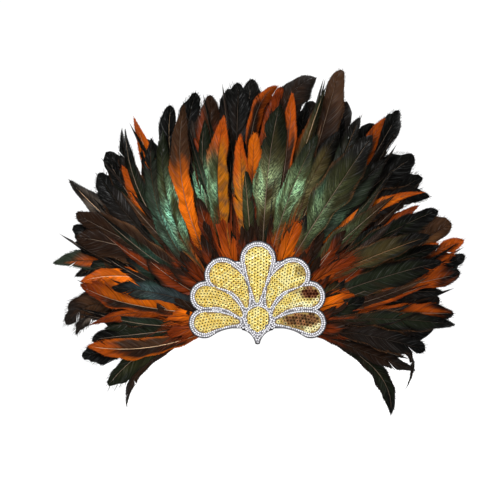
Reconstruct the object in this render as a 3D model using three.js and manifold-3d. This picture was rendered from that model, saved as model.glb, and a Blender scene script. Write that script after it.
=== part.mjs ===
// Feather headband: rows of feathers fanned out on short curved tapes, a beaded and sequinned
// applique over their roots, and a plain band round the head. Millimetres, +Z up, the front faces -Y.
// The origin is the middle of the head opening, level with the lower edge of the band.
import * as THREE from "three";
import { mergeVertices } from "three/addons/utils/BufferGeometryUtils.js";
import Module from "manifold-3d";

const wasm = await Module();
wasm.setup();

const DEG = Math.PI / 180;

// Points closer than this are one point
const WELD = 1e-4;

// Clearance between neighbouring pieces
const GAP = 0.3;

// Headband: straight front, round front corners, straight sides and a half-round back
const BAND_WIDTH = 148;
const BAND_LENGTH = 180;
const BAND_CORNER = 28;
const BAND_THICK = 2;
const BAND_HIGH = 25;
const BAND_ARC_STEPS = 6;

// Middle of the fan above the lower edge of the band
const FAN_HIGH = 4;

// Tapes that carry the feather rows, one behind the other, each cut in three lengths
const TAPE_INNER = 38;
const TAPE_OUTER = 52;
const TAPE_THICK = 1.2;
const TAPE_ARC_STEPS = 4;
const TAPE_SEAM = 0.3;
const ROW_PITCH = TAPE_THICK + GAP;
const TAPE_LENGTHS = [
  { side: "right", from: -4, to: 43.5 },
  { side: "top", from: 43.5, to: 124.5 },
  { side: "left", from: 124.5, to: 184 },
];

// Feathers: the root lies on the tape, the rows spread apart and sweep back towards the rim
const ROOT_RADIUS = 45;
const QUILL_HALF = 1.6;
const FEATHER_THICK = 0.8;
const SPREAD_FROM = 105;
const SPREAD_OVER = 195;
const ROW_SPREAD = 5;
const SPREAD_POWER = 1.3;
const LEVEL_ROW = 1;
const SWEEP_FROM = 50;
const SWEEP_BACK = 42;
const SWEEP_OVER = 250;
const SWEEP_POWER = 2;
const CAMBER_SHARE = 0.4;
const SECTION_CORNERS = 4;
const STATIONS = [0, 0.14, 0.32, 0.5, 0.68, 0.84, 0.96];

// Tip forms: swell moves the widest place towards the tip, full makes the vane fuller
const TIPS = {
  point: { swell: 1.2, full: 1.05 },
  round: { swell: 1.8, full: 0.74 },
  blunt: { swell: 2.5, full: 0.5 },
};

// Feather rows, back to front. Columns: root place on the tape (degrees from +X), tip across and up
// from the middle of the fan, bow of the spine to its left, share of the length where it bows, width, tip
const ROWS = [
  {
    name: "feather_row_1",
    color: 0x1b1f1c,
    feathers: [
      [181, -173, -109, -28, 0.75, 12, "point"],
      [180, -233, -42, 0, 0.6, 28, "blunt"],
      [177, -241, -14, -36, 0.85, 20, "round"],
      [160, -273, 82, -27, 0.6, 28, "round"],
      [146, -253, 194, 7, 0.5, 25, "round"],
      [141, -181, 262, 31, 0.65, 26, "point"],
      [127, -82, 311, 34, 0.5, 32, "blunt"],
      [96, -7, 329, 7, 0.5, 37, "blunt"],
      [84, 32, 318, 4, 0.5, 36, "blunt"],
      [77, 67, 300, 0, 0.5, 21, "round"],
      [58, 190, 287, -4, 0.5, 34, "blunt"],
      [50, 220, 197, 16, 0.5, 38, "blunt"],
      [34, 259, 136, 4, 0.5, 40, "blunt"],
      [18, 278, 91, -4, 0.5, 32, "blunt"],
      [9, 244, 33, -5, 0.5, 26, "blunt"],
      [1, 196, -84, 48, 1, 7, "point"],
    ],
  },
  {
    name: "feather_row_2",
    color: 0x5a3c28,
    feathers: [
      [178, -198, -82, -18, 0.4, 27, "blunt"],
      [174, -255, -1, -31, 0.85, 32, "round"],
      [162, -243, 64, -32, 0.65, 22, "round"],
      [150, -244, 109, -34, 0.55, 25, "round"],
      [143, -200, 221, 14, 0.6, 26, "round"],
      [137, -165, 277, 16, 0.4, 21, "round"],
      [119, -93, 293, 14, 0.45, 19, "round"],
      [104, -27, 323, 12, 0.5, 46, "blunt"],
      [87, 79, 329, 29, 0.9, 34, "round"],
      [72, 112, 342, -6, 0.5, 30, "blunt"],
      [58, 209, 226, 16, 0.5, 44, "blunt"],
      [40, 215, 159, 5, 0.5, 19, "round"],
      [22, 276, 113, -4, 0.6, 34, "round"],
      [16, 247, 44, 8, 0.5, 24, "round"],
      [4, 222, -7, -2, 0.5, 20, "round"],
      [1, 176, -119, 31, 0.75, 19, "round"],
    ],
  },
  {
    name: "feather_row_3",
    color: 0x20241f,
    feathers: [
      [176, -202, -4, -4, 0.5, 21, "round"],
      [163, -234, 58, -22, 0.6, 23, "round"],
      [155, -240, 116, -19, 0.5, 34, "blunt"],
      [147, -212, 202, 12, 0.6, 35, "blunt"],
      [140, -180, 212, 12, 0.5, 24, "round"],
      [132, -116, 293, 29, 0.55, 26, "blunt"],
      [118, -62, 306, 20, 0.45, 34, "blunt"],
      [93, 27, 317, 28, 0.9, 16, "round"],
      [75, 91, 317, 4, 0.5, 24, "point"],
      [60, 170, 276, 0, 0.5, 26, "round"],
      [54, 230, 170, 32, 0.72, 30, "round"],
      [39, 240, 151, 7, 0.5, 28, "blunt"],
      [17, 270, 69, 4, 0.5, 30, "blunt"],
      [7, 260, 15, 4, 0.5, 25, "blunt"],
      [2, 198, -44, 2, 0.5, 17, "point"],
    ],
  },
  {
    name: "feather_row_4",
    color: 0x2b3a2c,
    feathers: [
      [179, -220, -20, 0, 0.5, 26, "blunt"],
      [172, -222, 0, -15, 0.55, 16, "point"],
      [150, -241, 148, -9, 0.5, 30, "blunt"],
      [140, -176, 261, 28, 0.6, 21, "point"],
      [120, -70, 272, 19, 0.45, 29, "round"],
      [92, -3, 255, 2, 0.5, 19, "blunt"],
      [80, 46, 309, -4, 0.5, 20, "round"],
      [66, 136, 277, -4, 0.5, 29, "round"],
      [60, 169, 219, 10, 0.5, 34, "round"],
      [52, 222, 176, 26, 0.65, 16, "point"],
      [28, 242, 106, 5, 0.5, 21, "round"],
      [14, 231, 56, -7, 0.5, 11, "point"],
      [3, 209, -60, 0, 0.5, 18, "round"],
    ],
  },
  {
    name: "feather_row_5",
    color: 0xc25a14,
    feathers: [
      [177, -225, -27, 14, 0.5, 26, "round"],
      [165, -235, 54, 3, 0.5, 32, "round"],
      [140, -140, 248, 34, 0.5, 24, "round"],
      [130, -97, 292, 31, 0.52, 23, "round"],
      [100, -23, 252, 4, 0.5, 19, "round"],
      [86, 30, 292, 2, 0.5, 40, "round"],
      [72, 109, 258, 10, 0.5, 29, "round"],
      [47, 182, 172, 6, 0.5, 21, "point"],
      [24, 245, 84, 4, 0.5, 32, "round"],
      [5, 262, 0, 5, 0.5, 24, "round"],
    ],
  },
  {
    name: "feather_row_6",
    color: 0x2f5a45,
    feathers: [
      [165, -193, 50, -8, 0.5, 24, "round"],
      [137, -125, 258, 31, 0.5, 24, "round"],
      [115, -44, 277, 20, 0.48, 26, "round"],
      [95, -19, 219, 0, 0.5, 16, "round"],
      [78, 80, 252, 11, 0.5, 24, "round"],
      [64, 152, 252, 5, 0.5, 40, "round"],
      [37, 229, 119, 11, 0.5, 26, "round"],
      [3, 223, -33, 4, 0.5, 27, "blunt"],
    ],
  },
  {
    name: "feather_tufts",
    color: 0xd06418,
    feathers: [
      [179, -119, -14, -4, 0.5, 20, "blunt"],
      [170, -125, 12, -4, 0.5, 22, "blunt"],
      [152, -118, 74, -5, 0.5, 16, "round"],
      [140, -104, 102, 5, 0.5, 18, "round"],
      [119, -76, 122, 6, 0.5, 18, "round"],
      [106, -46, 142, 6, 0.5, 26, "blunt"],
      [91, -7, 133, 0, 0.5, 14, "round"],
      [68, 54, 138, 0, 0.5, 26, "blunt"],
      [58, 84, 129, -4, 0.5, 14, "round"],
      [34, 131, 91, 5, 0.5, 20, "round"],
      [14, 132, 37, 3, 0.5, 26, "blunt"],
      [1, 126, -2, -3, 0.5, 18, "round"],
    ],
  },
];

// Applique, front to back: sequin pads and bead border side by side on a felt backing
const FELT_THICK = 2;
const FELT_EDGE = 0.9;
const BORDER_WIDE = 6.3;
const BORDER_THICK = 2;
const PAD_THICK = 1;
const PAD_DOME = 0.7;
const PAD_ROUND = 1.6;
const PAD_TAPER = 1.3;
const HEAD_STEPS = 7;
const SIDE_STEPS = 4;
const TAIL_STEPS = 2;

// Sequin pads, each round at its head and narrow at its tail, along a curved axis. Columns: head across, up
// and radius, bend of the axis across and up, tail across, up and radius, all from the middle of the fan
const SIDE_PADS = {
  sequin_petal_upper: [46.3, 66.4, 17, 19.6, 57.3, 15.1, 27.9, 3.6],
  sequin_petal_middle: [68.5, 38.3, 14, 40.4, 38.6, 23.3, 15.6, 4],
  sequin_petal_lower: [70.2, 3.8, 13.3, 46, 9.6, 25.7, 5, 3],
};
const PADS = {
  sequin_petal_top: [0.6, 86.8, 17.2, 0, 60, -0.6, 33, 2.6],
  sequin_drop: [0.5, 9.8, 15, 0.3, 3, 0, -3, 4.5],
};
for (const [name, row] of Object.entries(SIDE_PADS)) {
  PADS[`${name}_right`] = row;
  PADS[`${name}_left`] = mirrored(row);
}

// Parts of the border that no pad has: a web under the top petal and on each side of it, and the lower tip
const NOTCH_WEB = [28.5, 73.5, 4.7, 26, 68, 24, 62, 4.6];
const BORDER_WEBS = [[0.6, 87.6, 17.1, 0.6, 70, 0.4, 56, 15], NOTCH_WEB, mirrored(NOTCH_WEB)];
const BORDER_TIP = [0, 6, 16, 0, -5.2, 0, -16.6, 0.8];

// Arches that hollow the lower edge on each side of the tip, and the sides of the tip.
// Columns: across, down, radius
const WIDE_ARCH = [27, 62.5, 60];
const TIP_ARCH = [24.3, 27, 22.4];
const ARCH_STEPS = 22;

// The same pad on the other side of the middle
function mirrored([headX, headY, headRadius, bendX, bendY, tailX, tailY, tailRadius]) {
  return [-headX, headY, headRadius, -bendX, bendY, -tailX, tailY, tailRadius];
}

function material(color, roughness, metalness = 0) {
  return new THREE.MeshStandardMaterial({ color, roughness, metalness });
}

function mesh(name, geometry, look) {
  const made = new THREE.Mesh(geometry, look);
  made.name = name;
  return made;
}

function toSolid(geometry) {
  const bare = new THREE.BufferGeometry();
  bare.setAttribute("position", geometry.getAttribute("position"));
  bare.setIndex(geometry.index);
  const merged = mergeVertices(bare, WELD);
  return new wasm.Manifold(
    new wasm.Mesh({
      numProp: 3,
      vertProperties: new Float32Array(merged.attributes.position.array),
      triVerts: new Uint32Array(merged.index.array),
    }),
  );
}

function toGeometry(solid) {
  const { vertProperties, triVerts } = solid.getMesh();
  const geometry = new THREE.BufferGeometry();
  geometry.setAttribute("position", new THREE.BufferAttribute(vertProperties, 3));
  geometry.setIndex(new THREE.BufferAttribute(triVerts, 1));
  geometry.computeVertexNormals();
  return geometry;
}

function join(geometries) {
  return geometries.map(toSolid).reduce((all, one) => all.add(one));
}

function extrude(shape, depth, curveSegments) {
  return new THREE.ExtrudeGeometry(shape, { depth, curveSegments, bevelEnabled: false });
}

// Plan of the band, moved outwards by grow
function bandPlan(grow) {
  const half = BAND_WIDTH / 2 + grow;
  const front = -BAND_LENGTH / 2 - grow;
  const corner = BAND_CORNER + grow;
  const backMiddle = BAND_LENGTH / 2 + grow - half;
  const plan = new THREE.Shape();
  plan.absarc(half - corner, front + corner, corner, -90 * DEG, 0, false);
  plan.absarc(0, backMiddle, half, 0, 180 * DEG, false);
  plan.absarc(corner - half, front + corner, corner, 180 * DEG, 270 * DEG, false);
  plan.closePath();
  return plan;
}

function headband() {
  const plan = bandPlan(BAND_THICK);
  plan.holes.push(bandPlan(0));
  return extrude(plan, BAND_HIGH, BAND_ARC_STEPS);
}

// How far the rows have spread apart at a distance from the middle of the fan
function spreadAt(radius) {
  const share = Math.max(0, radius - SPREAD_FROM) / SPREAD_OVER;
  return ROW_SPREAD * share ** SPREAD_POWER;
}

// Depth of a row's middle surface, towards the viewer
function rowDepth(row, radius) {
  const tape = GAP + row * ROW_PITCH + TAPE_THICK / 2;
  const swept = Math.max(0, radius - SWEEP_FROM) / SWEEP_OVER;
  return tape + (row - LEVEL_ROW) * spreadAt(radius) - SWEEP_BACK * swept ** SWEEP_POWER;
}

function halfWidth(t, width, tip) {
  const { swell, full } = TIPS[tip];
  const vane = Math.sin(Math.PI * t ** swell) ** full;
  return Math.max(QUILL_HALF, (width / 2) * vane);
}

function spineOf(root, tipX, tipY, bow, at) {
  const start = new THREE.Vector2(Math.cos(root * DEG), Math.sin(root * DEG)).multiplyScalar(ROOT_RADIUS);
  const end = new THREE.Vector2(tipX, tipY);
  const chord = end.clone().sub(start);
  const left = new THREE.Vector2(-chord.y, chord.x).normalize();
  const middle = start.clone().addScaledVector(chord, at).addScaledVector(left, 2 * bow);
  return new THREE.QuadraticBezierCurve(start, middle, end);
}

// One feather: a thin strip along its spine with a raised middle ridge and thin edges. Its front and back
// faces are split along the same lines, so that they never cross towards the edges
function feather(row, [root, tipX, tipY, bow, at, width, tip]) {
  const spine = spineOf(root, tipX, tipY, bow, at);
  const positions = [];
  const put = (x, y, rise) => positions.push(x, y, rowDepth(row, Math.hypot(x, y)) + rise);
  for (const t of STATIONS) {
    const p = spine.getPoint(t);
    const along = spine.getTangent(t);
    const half = halfWidth(t, width, tip);
    const room = ROW_PITCH + spreadAt(p.length()) - FEATHER_THICK - GAP;
    const camber = CAMBER_SHARE * room;
    put(p.x - along.y * half, p.y + along.x * half, -camber);
    put(p.x, p.y, FEATHER_THICK / 2);
    put(p.x + along.y * half, p.y - along.x * half, -camber);
    put(p.x, p.y, -FEATHER_THICK / 2);
  }
  put(tipX, tipY, 0);
  const faces = [0, 2, 1, 0, 3, 2];
  for (let i = 0; i + 1 < STATIONS.length; i++) {
    for (let j = 0; j < SECTION_CORNERS; j++) {
      const a = i * SECTION_CORNERS + j;
      const b = i * SECTION_CORNERS + ((j + 1) % SECTION_CORNERS);
      const nextA = a + SECTION_CORNERS;
      const nextB = b + SECTION_CORNERS;
      if (j % 2 === 0) {
        faces.push(a, b, nextB, a, nextB, nextA);
      } else {
        faces.push(a, b, nextA, b, nextB, nextA);
      }
    }
  }
  const last = (STATIONS.length - 1) * SECTION_CORNERS;
  for (let j = 0; j < SECTION_CORNERS; j++) {
    faces.push(last + j, last + ((j + 1) % SECTION_CORNERS), STATIONS.length * SECTION_CORNERS);
  }
  const geometry = new THREE.BufferGeometry();
  geometry.setAttribute("position", new THREE.Float32BufferAttribute(positions, 3));
  geometry.setIndex(faces);
  return geometry;
}

// One length of tape, a flat piece of a ring
function tape(row, from, to) {
  const start = (from + TAPE_SEAM) * DEG;
  const end = (to - TAPE_SEAM) * DEG;
  const shape = new THREE.Shape();
  shape.absarc(0, 0, TAPE_OUTER, start, end, false);
  shape.absarc(0, 0, TAPE_INNER, end, start, true);
  shape.closePath();
  return extrude(shape, TAPE_THICK, TAPE_ARC_STEPS).translate(0, 0, GAP + row * ROW_PITCH);
}

function featherRow(row, { from, to }) {
  const own = ROWS[row].feathers.filter(([root]) => root >= from && root < to);
  return toGeometry(join([tape(row, from, to), ...own.map((line) => feather(row, line))]));
}

// Outline of a pad: round its head, down one side, round its tail and back along the other side
function padOutline([headX, headY, headRadius, bendX, bendY, tailX, tailY, tailRadius], grow) {
  const head = new THREE.Vector2(headX, headY);
  const bend = new THREE.Vector2(bendX, bendY);
  const tail = new THREE.Vector2(tailX, tailY);
  const axis = new THREE.QuadraticBezierCurve(head, bend, tail);
  const points = [];
  const put = (t, turn) => {
    const away = axis.getTangent(t).rotateAround(new THREE.Vector2(), turn * DEG);
    const radius = headRadius + (tailRadius - headRadius) * t ** PAD_TAPER + grow;
    points.push(axis.getPoint(t).addScaledVector(away, radius));
  };
  for (let i = 0; i <= HEAD_STEPS; i++) {
    put(0, 90 + (180 * i) / HEAD_STEPS);
  }
  for (let i = 1; i < SIDE_STEPS; i++) {
    put(i / SIDE_STEPS, -90);
  }
  for (let i = 0; i <= TAIL_STEPS; i++) {
    put(1, -90 + (180 * i) / TAIL_STEPS);
  }
  for (let i = SIDE_STEPS - 1; i > 0; i--) {
    put(i / SIDE_STEPS, 90);
  }
  return new THREE.Shape(points);
}

function padPlates(rows, grow, depth) {
  return join(rows.map((row) => extrude(padOutline(row, grow), depth, 1)));
}

// An arch on each side of the middle, its edge moved outwards by grow
function archPair([across, down, radius], grow, depth) {
  const pair = [-across, across].map((x) => {
    const circle = new THREE.Shape();
    circle.absarc(x, -down, radius - grow, 0, 360 * DEG, false);
    return extrude(circle, depth, ARCH_STEPS);
  });
  return join(pair);
}

// A plate with the outline of the whole applique, moved outwards by grow
function appliquePlate(grow, depth) {
  const wide = BORDER_WIDE + grow;
  const petals = padPlates([...Object.values(PADS), ...BORDER_WEBS], wide, depth);
  const tip = padPlates([BORDER_TIP], wide, depth);
  return petals.subtract(archPair(WIDE_ARCH, grow, depth)).add(tip.subtract(archPair(TIP_ARCH, grow, depth)));
}

function sequinPad(row) {
  return new THREE.ExtrudeGeometry(padOutline(row, 0), {
    depth: PAD_THICK,
    bevelThickness: PAD_DOME,
    bevelSize: PAD_ROUND,
    bevelOffset: -PAD_ROUND,
    bevelSegments: 1,
  }).translate(0, 0, PAD_DOME);
}

const headpiece = new THREE.Group();
headpiece.add(mesh("headband", headband(), material(0x1c1917, 0.9)));

// The front of the band carries the fan: across, up, and towards the viewer
const face = new THREE.Group();
face.rotation.x = 90 * DEG;
face.position.set(0, -BAND_LENGTH / 2 - BAND_THICK, FAN_HIGH);
headpiece.add(face);

ROWS.forEach(({ name, color }, row) => {
  for (const length of TAPE_LENGTHS) {
    face.add(mesh(`${name}_${length.side}`, featherRow(row, length), material(color, 0.55)));
  }
});

const applique = new THREE.Group();
applique.position.z = GAP + ROWS.length * ROW_PITCH;
face.add(applique);

const felt = appliquePlate(FELT_EDGE, FELT_THICK);
applique.add(mesh("felt_backing", toGeometry(felt), material(0x141214, 0.95)));

const trim = new THREE.Group();
trim.position.z = FELT_THICK + GAP;
applique.add(trim);

const sunk = padPlates(Object.values(PADS), GAP, BORDER_THICK);
const border = appliquePlate(0, BORDER_THICK).subtract(sunk);
trim.add(mesh("bead_border", toGeometry(border), material(0xdcdce4, 0.3)));
for (const [name, row] of Object.entries(PADS)) {
  trim.add(mesh(name, sequinPad(row), material(0xe2c35a, 0.3, 0.8)));
}

export default headpiece;
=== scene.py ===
"""Feather headband: barbed feathers, sequins, beads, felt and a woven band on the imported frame."""
import math

import bpy
import numpy as np
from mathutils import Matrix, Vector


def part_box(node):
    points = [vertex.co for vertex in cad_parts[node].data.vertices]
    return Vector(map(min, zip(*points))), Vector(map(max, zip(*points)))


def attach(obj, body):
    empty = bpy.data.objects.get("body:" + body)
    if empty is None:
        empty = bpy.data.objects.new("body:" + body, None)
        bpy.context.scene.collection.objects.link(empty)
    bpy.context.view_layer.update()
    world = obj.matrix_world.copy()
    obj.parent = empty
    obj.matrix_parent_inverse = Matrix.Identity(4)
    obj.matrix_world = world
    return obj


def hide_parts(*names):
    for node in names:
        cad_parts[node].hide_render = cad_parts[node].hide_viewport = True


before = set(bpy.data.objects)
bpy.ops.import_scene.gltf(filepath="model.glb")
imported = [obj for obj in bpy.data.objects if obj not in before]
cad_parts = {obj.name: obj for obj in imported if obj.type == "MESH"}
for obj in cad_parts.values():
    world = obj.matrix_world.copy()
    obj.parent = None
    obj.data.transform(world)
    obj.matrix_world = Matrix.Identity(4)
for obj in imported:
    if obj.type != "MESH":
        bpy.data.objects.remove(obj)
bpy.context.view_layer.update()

MM = 0.001
DEG = math.pi / 180

# The photograph's frame: its size in pixels, the scale, and the pixel of the origin
PHOTO_PX = 500
MM_PER_PX = 1.3253
ORIGIN_PX_X = 257.5
ORIGIN_PX_Y = 328
LENS_MM = 200
SENSOR_MM = 36
FOCUS_Y = -70

# The fan stands on the front of the band
FACE_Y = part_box("headband")[0].y / MM
FAN_HIGH = 4
GAP = 0.3

# Tapes that carry the feather rows
TAPE_INNER = 38
TAPE_OUTER = 52
TAPE_THICK = 1.2
TAPE_SEAM = 0.3
TAPE_STEPS = 24
ROW_PITCH = TAPE_THICK + GAP
TAPE_LENGTHS = {"right": (-4, 43.5), "top": (43.5, 124.5), "left": (124.5, 184)}

# Feathers, as they lie in the frame
ROOT_RADIUS = 45
SPREAD_FROM = 105
SPREAD_OVER = 195
ROW_SPREAD = 5
SPREAD_POWER = 1.3
LEVEL_ROW = 1
SWEEP_FROM = 50
SWEEP_BACK = 42
SWEEP_OVER = 250
SWEEP_POWER = 2
# Forms of the tip. Columns: how far out the feather is widest, and how full it is
TIPS = {"point": (1.2, 1.05), "round": (1.8, 0.74), "blunt": (2.5, 0.5)}

# Colours by name, as seen in the photograph
COLOURS = {
    "ink": 0x080807,
    "black": 0x0E0D0B,
    "blue_black": 0x12141D,
    "soot": 0x1A1512,
    "dark_green": 0x15190F,
    "green": 0x292A16,
    "olive": 0x38301A,
    "slate": 0x20261D,
    "teal": 0x23292B,
    # mint and sea are the colours of the painted highlight on the green feathers
    "mint": 0x9CE6B8,
    "sea": 0x82E6CA,
    "umber": 0x22150D,
    "brown": 0x3A2618,
    "bronze": 0x5E3E24,
    "tan": 0x8A6748,
    "grey": 0x675C52,
    "rust": 0x6A280A,
    "burnt": 0x923E0A,
    "copper": 0xB4560C,
    "orange": 0xD46408,
    "amber": 0x98580C,
    "cream": 0xCBA985,
    "horn": 0x7C6A5A,
}


def linear(code):
    """Linear red, green and blue of a colour as a screen shows it."""
    channels = np.array([code >> 16 & 255, code >> 8 & 255, code & 255]) / 255
    return np.where(channels <= 0.04045, channels / 12.92, ((channels + 0.055) / 1.055) ** 2.4)


INK = {name: linear(code) for name, code in COLOURS.items()}


def look(core, edge, tip, root="rust", **more):
    """Colours beside the shaft, at the edge, at the tip and at the root of a feather, and its habits."""
    habits = {
        "other": None,
        "other_bar": None,
        "bar": None,
        # strength of the painted highlight on this look
        "glint": 0.05,
        "shaft": "horn",
        "rim": None,
        "rim_from": 0.86,
        "slant": 1,
        "jag": 0.05,
        "edge_from": 0.5,
        "tip_from": 0.8,
        "splits": 0.7,
        "gap": 3,
        "fray": 0.6,
        "skew": None,
    }
    habits.update(more)
    return {"core": core, "edge": edge, "tip": tip, "root": root, **habits}


RAGGED = {"splits": 3, "gap": 4, "fray": 1.6, "jag": 0.1}
FLUFFY = {"splits": 5, "gap": 3, "fray": 3, "jag": 0.22, "slant": 2.2, "tip_from": 0.7, "shaft": "umber"}
LOOKS = {
    "black": look("soot", "ink", "ink", "umber", rim="bronze", splits=1.4, fray=0.7, jag=0.1),
    "black_ragged": look("black", "ink", "ink", "umber", **RAGGED),
    "black_pale": look("black", "ink", "ink", "umber", shaft="cream", splits=2),
    "blue_black": look("blue_black", "black", "black", "umber", glint=0.1),
    "black_green": look("dark_green", "black", "ink", "rust", glint=0.35, rim="bronze"),
    "drooping": look("dark_green", "black", "ink", "umber", splits=0, rim="brown"),
    "green": look("green", "dark_green", "black", "rust", glint=0.75, rim="bronze"),
    "green_ragged": look("green", "dark_green", "dark_green", "rust", glint=0.4, **RAGGED),
    "green_pale": look("green", "dark_green", "dark_green", "rust", glint=0.3, shaft="cream"),
    "olive": look("olive", "dark_green", "black", "rust", glint=0.55, shaft="tan", rim="bronze"),
    "olive_edge": look("olive", "burnt", "dark_green", "burnt", glint=0.3, shaft="cream", edge_from=0.7),
    "slate": look("slate", "dark_green", "black", "umber", glint=0.6, shaft="tan"),
    "teal": look("teal", "black", "black", "umber", glint=0.6),
    "mint": look("green", "green", "dark_green", "burnt", glint=1.35),
    "mint_brown": look("green", "brown", "brown", "burnt", glint=0.9, edge_from=0.65),
    "hero_mint": look("olive", "green", "dark_green", "umber", glint=1.0, tip_from=0.72),
    "umber": look("umber", "soot", "soot", "rust"),
    "brown": look("umber", "brown", "umber", "burnt", rim="bronze"),
    "brown_ragged": look("brown", "umber", "soot", "rust", **RAGGED),
    "bronze": look("umber", "brown", "brown", "burnt", edge_from=0.6, splits=0),
    "paddle": look("bronze", "brown", "brown", "rust"),
    "grey": look("grey", "soot", "soot", "brown", shaft="cream"),
    "grey_ragged": look("grey", "soot", "soot", "brown", **RAGGED),
    "ember": look("burnt", "slate", "slate", "burnt", edge_from=0.3),
    "rust": look("rust", "umber", "umber", "rust"),
    "orange": look("orange", "burnt", "burnt", "orange", shaft="cream", edge_from=0.75),
    "copper": look("copper", "burnt", "burnt", "burnt", shaft="cream", edge_from=0.75),
    "burnt": look("burnt", "rust", "rust", "burnt"),
    "barred": look("amber", "burnt", "burnt", "orange", bar="bronze"),
    "orange_edge": look("umber", "burnt", "burnt", "burnt", shaft="cream", tip_from=0.86),
    "green_edge": look("dark_green", "burnt", "dark_green", "burnt", glint=0.2, edge_from=0.65),
    "black_tip": look("burnt", "burnt", "ink", "burnt", tip_from=0.85),
    "hero_orange": look("orange", "orange", "brown", "orange", tip_from=0.66, splits=0),
    "hero_side": look("umber", "burnt", "rust", "burnt", other="orange", shaft="cream", skew=0.5),
    "hero_low": look(
        "umber",
        "umber",
        "burnt",
        "burnt",
        other="brown",
        rim="orange",
        rim_from=0.6,
        shaft="cream",
        skew=0.1,
    ),
    "orange_end": look("rust", "umber", "copper", "umber", tip_from=0.74),
    "orange_tip": look("umber", "burnt", "burnt", "burnt", tip_from=0.8),
    "split": look(
        "green",
        "green",
        "burnt",
        "burnt",
        other="amber",
        other_bar="bronze",
        glint=1.25,
        edge_from=0.8,
    ),
    "tuft_bright": look("orange", "burnt", "burnt", "burnt", **FLUFFY),
    "tuft_orange": look("burnt", "rust", "rust", "burnt", **FLUFFY),
    "tuft_rust": look("rust", "umber", "umber", "rust", **FLUFFY),
    "tuft_dark": look("umber", "soot", "umber", "rust", **FLUFFY),
    "under_dark": look("umber", "ink", "ink", "rust"),
    "under_rust": look("rust", "umber", "umber", "burnt"),
}

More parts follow.
